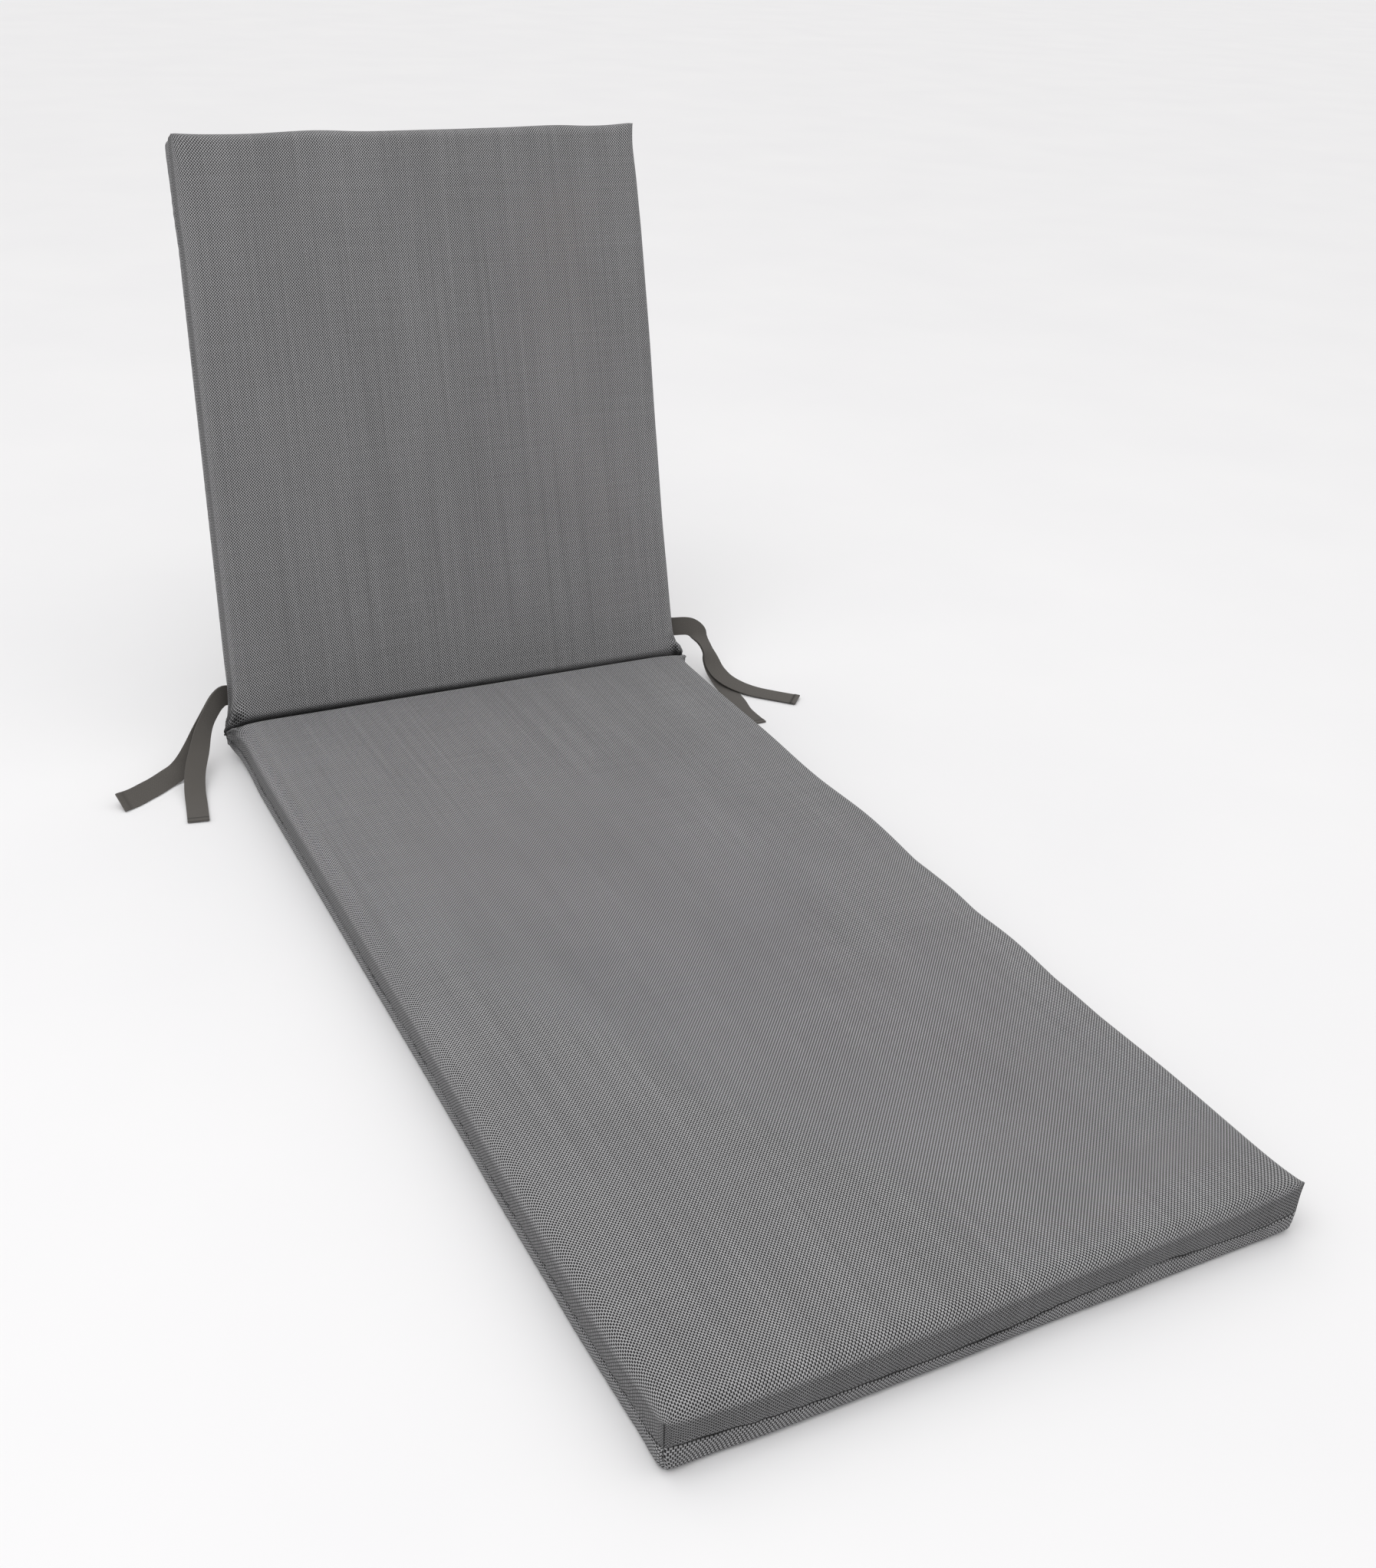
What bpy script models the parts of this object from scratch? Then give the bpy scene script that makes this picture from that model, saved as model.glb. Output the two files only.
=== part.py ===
"""A sun lounger cushion, standing in the shape that it takes on a lounger.

The cushion is one filled body of two sections, a long seat and a shorter back, with a channel
sewn through it between them. It is bent there, so that the back rises behind the flat seat.
Two tapes are sewn into the back's side seams, just above the channel. Each is folded at its
middle, so it has two free tails, which lie on the floor beside the cushion.

Units are metres and Z is up. The seat points along -Y, and the origin lies on the floor under
the middle of the cushion's box.
"""

import math

import bmesh
import bpy
from mathutils import Vector

# Cushion
HALF_WIDTH = 0.3020  # middle to side wall
THICKNESS = 0.0530  # height of the walls
SEAT_LENGTH = 1.1865  # fold to front wall
BACK_LENGTH = 0.7165  # fold to top wall
LEAN = math.radians(15.2)  # of the back section, behind the vertical
CROWN = 0.0016  # swell of a panel at its middle
WALL_BULGE = 0.0030  # swell of a side wall
END_BULGE = 0.0022  # swell of the front and top walls

# Edges: the top panel turns down over a soft edge, the bottom panel is turned up sharply
TOP_ROUND = 0.0110
BOTTOM_ROUND = 0.0050
CORNER_SHARPNESS = 0.65  # share of the top's rounding that is lost at a sewn corner
CORNER_BLUNTNESS = 1.20  # share that the bottom's rounding gains there
CORNER_REACH = 0.018  # how far from a corner they are felt
CORNER_EAR = 0.0030  # how far the top of a sewn corner stands out
EAR_REACH = 0.0080
SEAM_DEPTH = 0.0350  # of the seam round the walls, below the top panel
SEAM_DRAW = 0.0020  # how far that seam is drawn in
SEAM_HALF = 0.0050  # half the height of wall that the seam draws in

# How the filling presses the cover out
LOBE_FULLNESS = 0.7  # power of the sine that a wall's swell follows, lower for a fuller wall
SIDE_FLATNESS = 4  # powers with which a panel's crown falls towards its sides and its ends
END_FLATNESS = 6
CORNER_STIFFNESS = 0.090  # distance from a corner at which the walls swell in full
WAVE_REACH = 0.100  # how far in from a side wall its waves are felt

# Sewn channel at the fold
CHANNEL_HALF = 0.0004  # half the gap between the faces that press together
CHANNEL_FRONT = 0.0220  # depth of the stitches below the front face
CHANNEL_REAR = 0.0270  # depth of the stitches below the rear face
FRONT_ROUND = 0.0045  # length of the front face that turns into the channel, at the middle
FRONT_ROUND_SIDE = 0.0240  # and where the walls are gathered at the sides
REAR_ROUND = 0.0450  # the same for the rear face, which opens as the cushion bends
REAR_ROUND_SIDE = 0.0850
GATHER_WIDTH = 0.0450  # width of the gathered part at each side
FAN_REACH = 0.0600  # length over which sections turn from square to the fold's mitre
FOLD_SKEW = -0.0100  # the fold runs a little out of square, metres per metre
SKEW_REACH = 0.0800  # how far from the fold that is felt
FOLD_PLACE = -0.0055  # of the fold, along Y from the line that the tapes' rows start from

# How far the walls stand out from HALF_WIDTH, by distance from the fold. The cover waves there
SEAT_EDGES = (
    # from_fold, left, right
    (0.000, 0.0135, 0.0135),
    (0.012, 0.0085, 0.0095),
    (0.026, 0.0010, 0.0035),
    (0.055, 0.0002, 0.0022),
    (0.110, 0.0014, 0.0016),
    (0.250, 0.0014, 0.0020),
    (0.380, 0.0016, -0.0010),
    (0.500, 0.0017, 0.0050),
    (0.670, 0.0014, -0.0038),
    (0.780, 0.0018, 0.0032),
    (0.880, 0.0028, -0.0016),
    (1.030, 0.0020, 0.0022),
    (1.120, 0.0002, 0.0014),
    (1.186, -0.0016, 0.0016),
)
BACK_EDGES = (
    # from_fold, left, right
    (0.000, 0.0135, 0.0135),
    (0.012, 0.0095, 0.0095),
    (0.026, 0.0014, 0.0035),
    (0.055, -0.0012, 0.0008),
    (0.100, -0.0012, 0.0008),
    (0.180, -0.0012, 0.0000),
    (0.300, -0.0012, 0.0010),
    (0.450, -0.0012, 0.0028),
    (0.570, -0.0012, 0.0028),
    (0.640, 0.0008, 0.0018),
    (0.716, 0.0036, -0.0004),
)

# How far the end walls stand out, by distance across
END_EDGES = (
    # across, front, top
    (-0.302, -0.0016, 0.0020),
    (-0.215, 0.0014, -0.0006),
    (-0.130, 0.0016, 0.0020),
    (-0.060, 0.0016, -0.0008),
    (0.050, -0.0006, -0.0004),
    (0.110, 0.0000, 0.0002),
    (0.195, -0.0008, 0.0018),
    (0.240, -0.0006, 0.0002),
    (0.302, -0.0014, 0.0024),
)

# Ribs of the cushion's mesh
EDGE_ZONE = 0.0120  # breadth of the ribs that turn round an edge
BOTTOM_ZONE = 0.0070
END_EASE = 0.0480  # length over which the ribs before an end wall close up
ARC_STEPS = (15, 30)  # degrees from the face, at which an edge has ribs
WALL_RIB = 0.0200  # depth of the rib in the middle of a wall
ACROSS_RIBS = (0.0, 0.070, 0.140, 0.205, 0.250, 0.275)
ALONG_SPACING = 0.0560
CHANNEL_ARC = (0, 18, 38, 60, 90)  # degrees round the turn into the channel
CHANNEL_RIBS = (0.0085, 0.0130, 0.0190, 0.0270, 0.0370, 0.0520, 0.0720, 0.0980)

# Tapes
TAPE_WIDTH = 0.0250
TAPE_THICKNESS = 0.0012
TAPE_GAP = 0.0006  # between the two tails of a tape, and to the wall
TAPE_STEP = 0.0060
HEM_LENGTH = 0.0080  # the folded end of a tail
HEM_THICKNESS = 0.0022

# The way of each tail, from the seam to its end, with the fold above the floor's zero line.
# Roll turns the tape about its way: at 0 and 180 it lies flat, at 90 it stands on its edge
LEFT_FRONT_TAIL = (
    # across, along, height, roll
    (-0.3056, 0.0400, 0.0725, 105),
    (-0.3130, 0.0350, 0.0740, 106),
    (-0.3240, 0.0245, 0.0708, 107),
    (-0.3365, 0.0110, 0.0609, 110),
    (-0.3470, -0.0050, 0.0500, 125),
    (-0.3560, -0.0220, 0.0350, 146),
    (-0.3665, -0.0430, 0.0185, 160),
    (-0.3735, -0.0690, 0.0065, 172),
    (-0.3790, -0.1030, 0.0018, 180),
    (-0.3852, -0.1380, 0.0018, 180),
)
LEFT_REAR_TAIL = (
    # across, along, height, roll
    (-0.3056, 0.0400, 0.0725, 105),
    (-0.3130, 0.0350, 0.0740, 106),
    (-0.3240, 0.0245, 0.0708, 107),
    (-0.3365, 0.0110, 0.0609, 110),
    (-0.3487, -0.0030, 0.0486, 125),
    (-0.3600, -0.0128, 0.0350, 132),
    (-0.3725, -0.0200, 0.0210, 128),
    (-0.3840, -0.0250, 0.0125, 140),
    (-0.3970, -0.0310, 0.0092, 148),
    (-0.4134, -0.0440, 0.0088, 148),
    (-0.4273, -0.0538, 0.0090, 146),
    (-0.4440, -0.0650, 0.0093, 144),
    (-0.4608, -0.0730, 0.0102, 142),
)
RIGHT_OUTER_TAIL = (
    # across, along, height, roll
    (0.3096, 0.0385, 0.0725, 75),
    (0.3185, 0.0355, 0.0715, 74),
    (0.3400, 0.0325, 0.0700, 68),
    (0.3510, 0.0285, 0.0648, 50),
    (0.3560, 0.0210, 0.0560, 12),
    (0.3620, 0.0130, 0.0420, -4),
    (0.3655, 0.0060, 0.0280, 0),
    (0.3680, -0.0070, 0.0155, 3),
    (0.3720, -0.0270, 0.0085, 5),
    (0.3810, -0.0490, 0.0048, 6),
    (0.3950, -0.0700, 0.0030, 5),
    (0.4140, -0.0905, 0.0026, 4),
    (0.4390, -0.1160, 0.0026, 4),
)
RIGHT_INNER_TAIL = (
    # across, along, height, roll
    (0.3096, 0.0385, 0.0725, 75),
    (0.3185, 0.0355, 0.0715, 74),
    (0.3400, 0.0325, 0.0700, 68),
    (0.3510, 0.0285, 0.0648, 50),
    (0.3560, 0.0210, 0.0560, 12),
    (0.3620, 0.0130, 0.0420, -4),
    (0.3653, 0.0062, 0.0275, 0),
    (0.3665, -0.0065, 0.0135, 2),
    (0.3670, -0.0275, 0.0048, 1),
    (0.3650, -0.0520, 0.0022, 0),
    (0.3605, -0.0850, 0.0021, 0),
    (0.3545, -0.1150, 0.0021, 0),
    (0.3540, -0.1560, 0.0024, 0),
)

# Colours are linear red, green and blue
COVER_GREY = (0.165, 0.165, 0.170)
TAPE_GREY = (0.078, 0.075, 0.070)

BEND = math.radians(90) - LEAN  # the turn from the seat to the back
MITRE = math.tan(BEND / 2)  # how far a section moves along, for each metre of depth


def smooth(value):
    """Ease a number from 0 to 1."""
    value = min(max(value, 0.0), 1.0)
    return value * value * (3 - 2 * value)


def blend(start, end, share):
    """The value at that share of the way from start to end."""
    return start + (end - start) * share


def from_rows(rows, at, column):
    """Read a table at a place between its rows, easing from one row to the next."""
    if at <= rows[0][0]:
        return rows[0][column]
    for before, after in zip(rows, rows[1:]):
        if at <= after[0]:
            share = smooth((at - before[0]) / (after[0] - before[0]))
            return blend(before[column], after[column], share)
    return rows[-1][column]


def material(name, colour, roughness):
    """A plain fabric material."""
    made = bpy.data.materials.new(name)
    made.use_nodes = True
    shader = made.node_tree.nodes["Principled BSDF"]
    shader.inputs["Base Color"].default_value = (*colour, 1.0)
    shader.inputs["Roughness"].default_value = roughness
    shader.inputs["Metallic"].default_value = 0.0
    return made


def edge_ribs(limit, zone):
    """Places of the ribs that turn round an edge at the limit, from the edge inwards."""
    inner = [limit - zone * (1 - math.tan(math.radians(step))) for step in ARC_STEPS]
    return [limit - zone, *sorted(inner)]


def channel_ribs():
    """Distances from the fold of the ribs at the sewn channel."""
    turn = [
        CHANNEL_HALF + FRONT_ROUND * (1 - math.cos(math.radians(step)))
        for step in CHANNEL_ARC
    ]
    return [*turn, *CHANNEL_RIBS]


def along_ribs(length):
    """Distances from the fold of all the ribs of one section."""
    ribs = channel_ribs()
    first = ribs[-1]
    last = length - EDGE_ZONE
    count = round((last - first) / ALONG_SPACING)
    ribs += [blend(first, last, step / count) for step in range(1, count)]
    return ribs + edge_ribs(length, EDGE_ZONE)


def block():
    """A block of the cushion's flat size, cut into ribs: X across, Y along, Z down from the top."""
    mesh = bmesh.new()
    bmesh.ops.create_cube(mesh, size=1.0)
    total = SEAT_LENGTH + BACK_LENGTH
    for vertex in mesh.verts:
        vertex.co.x *= 2 * HALF_WIDTH
        vertex.co.y = (vertex.co.y + 0.5) * total - SEAT_LENGTH
        vertex.co.z = (vertex.co.z + 0.5) * THICKNESS

    across = [*ACROSS_RIBS, *edge_ribs(HALF_WIDTH, EDGE_ZONE)]
    across = sorted({*across, *(-rib for rib in across)})
    along = sorted([-rib for rib in along_ribs(SEAT_LENGTH)] + along_ribs(BACK_LENGTH))
    top = [EDGE_ZONE * (1 - math.tan(math.radians(step))) for step in ARC_STEPS]
    top.append(EDGE_ZONE)
    seam = [SEAM_DEPTH - SEAM_HALF, SEAM_DEPTH, SEAM_DEPTH + SEAM_HALF]
    down = [*top, WALL_RIB, *seam, *edge_ribs(THICKNESS, BOTTOM_ZONE)]
    for axis, places in ((0, across), (1, along), (2, down)):
        normal = Vector((0, 0, 0))
        normal[axis] = 1
        for place in places:
            cut = [*mesh.verts, *mesh.edges, *mesh.faces]
            bmesh.ops.bisect_plane(
                mesh, geom=cut, plane_co=normal * place, plane_no=normal
            )
    return mesh


def rounded(across, along, depth):
    """Turn the block's square edges into round ones, sharper where the corners are sewn.

    Returns the point, and how much of it belongs to the side walls and the end walls.
    """
    length = BACK_LENGTH if along > 0 else SEAT_LENGTH
    side, far = abs(across), abs(along)
    corner = math.exp(-((HALF_WIDTH - side) + (length - far)) / CORNER_REACH)
    top_radius = TOP_ROUND * (1 - CORNER_SHARPNESS * corner)
    bottom_radius = BOTTOM_ROUND * (1 + CORNER_BLUNTNESS * corner)
    down = (depth - EDGE_ZONE) / (THICKNESS - EDGE_ZONE - BOTTOM_ZONE)
    down = min(max(down, 0.0), 1.0)
    radius = blend(top_radius, bottom_radius, down)

    turn_side = max(0.0, (side - HALF_WIDTH + EDGE_ZONE) / EDGE_ZONE)
    turn_far = max(0.0, (far - length + EDGE_ZONE) / EDGE_ZONE)
    turn_down = 0.0
    if depth < EDGE_ZONE:
        turn_down = depth / EDGE_ZONE - 1
    elif depth > THICKNESS - BOTTOM_ZONE:
        turn_down = 1 - (THICKNESS - depth) / BOTTOM_ZONE
    reach = math.sqrt(turn_side**2 + turn_far**2 + turn_down**2)

    side = min(side, HALF_WIDTH - EDGE_ZONE) * (HALF_WIDTH - radius) / (HALF_WIDTH - EDGE_ZONE)
    near_end = smooth((far - length + EDGE_ZONE + END_EASE) / END_EASE)
    far = min(far, length - EDGE_ZONE) + (EDGE_ZONE - radius) * near_end
    depth = blend(top_radius, THICKNESS - bottom_radius, down)
    point = Vector(
        (
            math.copysign(side + radius * turn_side / reach, across),
            math.copysign(far + radius * turn_far / reach, along),
            depth + radius * turn_down / reach,
        )
    )
    return point, turn_side / reach, turn_far / reach


def wall_swell(depth, bulge):
    """How far a wall stands out at a depth: two soft lobes, with the seam drawn in between."""
    arc = math.sin(math.pi * min(max(depth / THICKNESS, 0.0), 1.0))
    drawn_in = SEAM_DRAW * math.exp(-(((depth - SEAM_DEPTH) / SEAM_HALF) ** 2))
    return bulge * max(arc, 0.0) ** LOBE_FULLNESS - drawn_in


def swollen(point, side_share, end_share):
    """Let the filling press the panels and walls out, and draw the seam in."""
    across, along, depth = point
    length = BACK_LENGTH if along > 0 else SEAT_LENGTH
    far = abs(along)
    rows = BACK_EDGES if along > 0 else SEAT_EDGES
    from_corner = smooth((HALF_WIDTH - abs(across) + length - far) / CORNER_STIFFNESS)

    wall = wall_swell(depth, WALL_BULGE * from_corner)
    wall += from_rows(rows, far, 1 if across < 0 else 2)
    share = smooth((abs(across) - HALF_WIDTH + WAVE_REACH) / WAVE_REACH)
    new_across = across + math.copysign(share * wall, across)

    wall = wall_swell(depth, END_BULGE * from_corner)
    wall += from_rows(END_EDGES, across, 2 if along > 0 else 1)
    new_along = along + math.copysign(end_share * wall, along)

    ear = CORNER_EAR * math.exp(-((HALF_WIDTH - abs(across)) + (length - far)) / EAR_REACH)
    tip = max(1 - 2 * depth / THICKNESS, 0.0) ** 2
    new_across += math.copysign(ear * tip * side_share, across)
    new_along += math.copysign(ear * tip * end_share, along)

    side_fall = 1 - (across / HALF_WIDTH) ** SIDE_FLATNESS
    end_fall = 1 - (2 * far / length - 1) ** END_FLATNESS
    crown = CROWN * max(side_fall * end_fall, 0.0)
    top_share = 1 - depth / THICKNESS
    lift = crown * top_share
    if along > 0:
        lift -= crown * (1 - top_share)
    return Vector((new_across, new_along, depth - lift))


def turned_in(far, breadth):
    """Share of the channel's depth that a face has at a distance from the fold."""
    place = min(max((far - CHANNEL_HALF) / breadth, 0.0), 1.0)
    return 1 - math.sqrt(1 - (1 - place) ** 2)


def sewn_through(point):
    """Draw both faces in to the stitches of the channel."""
    across, along, depth = point
    gathered = smooth((abs(across) - HALF_WIDTH + GATHER_WIDTH) / GATHER_WIDTH)
    front = CHANNEL_FRONT * turned_in(abs(along), blend(FRONT_ROUND, FRONT_ROUND_SIDE, gathered))
    rear = CHANNEL_REAR * turned_in(abs(along), blend(REAR_ROUND, REAR_ROUND_SIDE, gathered))
    share = depth / THICKNESS
    return Vector((across, along, depth + front * (1 - share) - rear * share))


def bent(point):
    """Bend the flat cushion at its fold: the seat stays level and the back stands up."""
    across, along, depth = point
    far = abs(along) - MITRE * depth * (1 - smooth(abs(along) / FAN_REACH))
    skew = FOLD_PLACE + FOLD_SKEW * across * math.exp(-abs(along) / SKEW_REACH)
    if along <= 0:
        return Vector((across, skew - far, THICKNESS - depth))
    up = Vector((0, math.sin(LEAN), math.cos(LEAN)))
    rear = Vector((0, math.cos(LEAN), -math.sin(LEAN)))
    start = Vector((across, skew, THICKNESS))
    return start + up * far + rear * depth


def place(across, along, depth):
    """The place of a point of the block on the finished cushion."""
    point, side_share, end_share = rounded(across, along, depth)
    return bent(sewn_through(swollen(point, side_share, end_share)))


def make_cushion(collection, cover):
    """The filled cushion, and the way from the fold to the middle of its box."""
    mesh = block()
    for vertex in mesh.verts:
        vertex.co = place(*vertex.co)
    lowest = min(vertex.co.z for vertex in mesh.verts)
    sides = [[vertex.co[axis] for vertex in mesh.verts] for axis in (0, 1)]
    middle = [(min(side) + max(side)) / 2 for side in sides]
    to_origin = Vector((-middle[0], -middle[1], -lowest))
    bmesh.ops.translate(mesh, verts=mesh.verts, vec=to_origin)
    bmesh.ops.recalc_face_normals(mesh, faces=mesh.faces)
    add_object("cushion", mesh, collection, cover)
    return to_origin


def smooth_way(rows):
    """A close chain of points and rolls through the rows of a tail."""
    chain = []
    ends = [rows[0], *rows, rows[-1]]
    for before, start, end, after in zip(ends, ends[1:], ends[2:], ends[3:]):
        length = math.dist(start[:3], end[:3])
        steps = max(1, round(length / TAPE_STEP))
        for step in range(steps):
            share = step / steps
            chain.append(
                [
                    0.5
                    * (
                        2 * b
                        + (c - a) * share
                        + (2 * a - 5 * b + 4 * c - d) * share**2
                        + (3 * b - a - 3 * c + d) * share**3
                    )
                    for a, b, c, d in zip(before, start, end, after)
                ]
            )
    chain.append(list(rows[-1]))
    return chain


def tape_frames(rows):
    """Middle, width direction and face direction at each point along a tail."""
    chain = smooth_way(rows)
    points = [Vector(link[:3]) for link in chain]
    frames = []
    for index, link in enumerate(chain):
        ahead = points[min(index + 1, len(points) - 1)]
        behind = points[max(index - 1, 0)]
        way = (ahead - behind).normalized()
        level = Vector((0, 0, 1)).cross(way).normalized()
        upward = way.cross(level)
        roll = math.radians(link[3])
        width = level * math.cos(roll) + upward * math.sin(roll)
        frames.append((points[index], width, way.cross(width)))
    return frames


def make_tail(name, rows, layer, to_origin, collection, tape):
    """One free tail of a tape. The layer says on which side of its twin it lies."""
    frames = tape_frames(rows)
    spread = layer * (TAPE_THICKNESS + TAPE_GAP) / 2
    mesh = bmesh.new()
    bmesh.ops.create_grid(mesh, x_segments=1, y_segments=len(frames) - 1, size=0.5)
    hem = {}
    walked = [0.0]
    for before, after in zip(frames, frames[1:]):
        walked.append(walked[-1] + (after[0] - before[0]).length)
    for vertex in mesh.verts:
        index = round((vertex.co.y + 0.5) * (len(frames) - 1))
        side = math.copysign(TAPE_WIDTH / 2, vertex.co.x)
        middle, width, face = frames[index]
        vertex.co = middle + width * side + face * spread + to_origin
        hem[vertex.index] = walked[index] > walked[-1] - HEM_LENGTH
    mesh.verts.ensure_lookup_table()
    tail = add_object(name, mesh, collection, tape)
    group = tail.vertex_groups.new(name="hem")
    group.add([index for index, folded in hem.items() if folded], 1.0, "REPLACE")
    solidify = tail.modifiers.new("thickness", "SOLIDIFY")
    solidify.thickness = HEM_THICKNESS
    solidify.offset = 0.0
    solidify.vertex_group = group.name
    solidify.thickness_vertex_group = TAPE_THICKNESS / HEM_THICKNESS


def add_object(name, mesh, collection, finish):
    """Turn a bmesh into a smooth-shaded object with one material."""
    data = bpy.data.meshes.new(name)
    mesh.to_mesh(data)
    mesh.free()
    data.shade_smooth()
    data.set_sharp_from_angle(angle=math.radians(50))
    data.materials.append(finish)
    made = bpy.data.objects.new(name, data)
    collection.objects.link(made)
    return made


def main():
    """Clear the scene and build the cushion."""
    for leftover in list(bpy.data.objects):
        bpy.data.objects.remove(leftover)
    collection = bpy.data.collections.new("sun_lounger_cushion")
    bpy.context.scene.collection.children.link(collection)
    cover = material("woven_cover", COVER_GREY, 0.85)
    tape = material("cotton_tape", TAPE_GREY, 0.90)

    to_origin = make_cushion(collection, cover)
    make_tail("tie_left_front", LEFT_FRONT_TAIL, -1, to_origin, collection, tape)
    make_tail("tie_left_rear", LEFT_REAR_TAIL, 1, to_origin, collection, tape)
    make_tail("tie_right_outer", RIGHT_OUTER_TAIL, 1, to_origin, collection, tape)
    make_tail("tie_right_inner", RIGHT_INNER_TAIL, -1, to_origin, collection, tape)


main()
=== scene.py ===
"""The looks of a sun lounger cushion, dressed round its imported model.

The cushion is one filled body of two sections, a long seat and a shorter back, bent at the
channel that is sewn through it. Its cover is a coarse plain weave of a dark warp and a pale
weft. A tape is sewn in at each side of the fold, and its two tails lie on the floor.

Units are metres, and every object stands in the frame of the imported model: the seat points
along -Y, and Z is up.
"""

import logging
import math
from dataclasses import dataclass, field
from enum import Enum

import bmesh
import bpy
import numpy as np
from mathutils import Euler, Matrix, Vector, noise


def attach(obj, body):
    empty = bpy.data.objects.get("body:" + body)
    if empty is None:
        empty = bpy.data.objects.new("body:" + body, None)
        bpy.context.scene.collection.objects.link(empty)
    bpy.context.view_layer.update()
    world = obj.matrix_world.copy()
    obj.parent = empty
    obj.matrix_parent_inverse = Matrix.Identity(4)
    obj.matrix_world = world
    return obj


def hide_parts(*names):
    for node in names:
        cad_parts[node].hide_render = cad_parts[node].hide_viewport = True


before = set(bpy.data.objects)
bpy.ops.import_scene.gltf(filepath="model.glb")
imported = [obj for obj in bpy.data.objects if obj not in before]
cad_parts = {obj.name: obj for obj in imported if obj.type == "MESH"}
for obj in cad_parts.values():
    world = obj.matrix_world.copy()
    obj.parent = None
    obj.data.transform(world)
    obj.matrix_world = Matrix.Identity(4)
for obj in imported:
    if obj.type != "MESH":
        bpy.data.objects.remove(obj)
log = logging.getLogger("sun_lounger_cushion")

BODY = "root"
MILLIMETRE = 0.001
TOUCHING = 1e-5


def linear(hex_colour: str) -> tuple[float, float, float, float]:
    """Turn an sRGB hex colour into a linear one.

    Args:
        hex_colour: Six hex digits, with or without a leading hash.

    Returns:
        Linear red, green, blue and an alpha of 1.
    """
    digits = hex_colour.lstrip("#")
    parts = [int(digits[place : place + 2], 16) / 255 for place in (0, 2, 4)]
    parts = [part / 12.92 if part <= 0.04045 else ((part + 0.055) / 1.055) ** 2.4 for part in parts]
    return (*parts, 1.0)


def smooth(value: float) -> float:
    """Ease a number from 0 to 1."""
    value = min(max(value, 0.0), 1.0)
    return value * value * (3 - 2 * value)


def blend(start: float, end: float, share: float) -> float:
    """The value at that share of the way from start to end."""
    return start + (end - start) * share


def hump(distance: float, reach: float) -> float:
    """A soft hump, 1 at no distance and close to 0 past twice its reach."""
    return math.exp(-((distance / reach) ** 2))


def from_rows(rows: tuple[tuple[float, ...], ...], at: float, column: int) -> float:
    """Read a table at a place between its rows, easing from one row to the next.

    Args:
        rows: Rows whose first number is the place.
        at: The place to read.
        column: Which number of a row is wanted.

    Returns:
        The eased value.
    """
    if at <= rows[0][0]:
        return rows[0][column]
    for before, after in zip(rows, rows[1:]):
        if at <= after[0]:
            share = smooth((at - before[0]) / (after[0] - before[0]))
            return blend(before[column], after[column], share)
    return rows[-1][column]


def add_node(
    tree: bpy.types.NodeTree,
    kind: str,
    sockets: dict[str | int, object] | None = None,
    **settings: object,
) -> bpy.types.Node:
    """Add a shader node with its settings, and with its inputs set or linked.

    Args:
        tree: The material's node tree.
        kind: The node's type name, without the ShaderNode in front.
        sockets: Input names or numbers, each with a value or with an output to link to it.
        **settings: Properties of the node.

    Returns:
        The node.
    """
    node = tree.nodes.new(f"ShaderNode{kind}")
    for name, value in settings.items():
        setattr(node, name, value)
    for name, value in (sockets or {}).items():
        if isinstance(value, bpy.types.NodeSocket):
            tree.links.new(value, node.inputs[name])
        else:
            node.inputs[name].default_value = value
    return node


def math_node(
    tree: bpy.types.NodeTree, operation: str, *values: object
) -> bpy.types.NodeSocket:
    """Add a Math node on values or outputs, and return its output."""
    return add_node(tree, "Math", dict(enumerate(values)), operation=operation).outputs[0]


def mixed(
    tree: bpy.types.NodeTree, share: bpy.types.NodeSocket, first: object, second: object
) -> bpy.types.NodeSocket:
    """Mix two colours, each a hex colour or an output, and return the mix.

    A Mix node keeps a set of sockets for each kind of data, so its colours go by number.
    """
    first, second = (linear(way) if isinstance(way, str) else way for way in (first, second))
    return add_node(tree, "Mix", {0: share, 6: first, 7: second}, data_type="RGBA").outputs[2]


def attribute(tree: bpy.types.NodeTree, name: str) -> bpy.types.NodeSocket:
    """The value that a mesh carries under that name."""
    return add_node(tree, "Attribute", attribute_name=name).outputs["Fac"]


def new_finish(name: str) -> tuple[bpy.types.Material, bpy.types.NodeTree, bpy.types.Node]:
    """Start a material, and return it with its node tree and its shader."""
    made = bpy.data.materials.new(name)
    made.use_nodes = True
    return made, made.node_tree, made.node_tree.nodes["Principled BSDF"]


def set_matt(
    shader: bpy.types.Node, roughness: float, specular: float, sheen: float = 0.0
) -> None:
    """Set how a matt surface takes light."""
    shader.inputs["Roughness"].default_value = roughness
    shader.inputs["Specular IOR Level"].default_value = specular
    shader.inputs["Sheen Weight"].default_value = sheen


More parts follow.
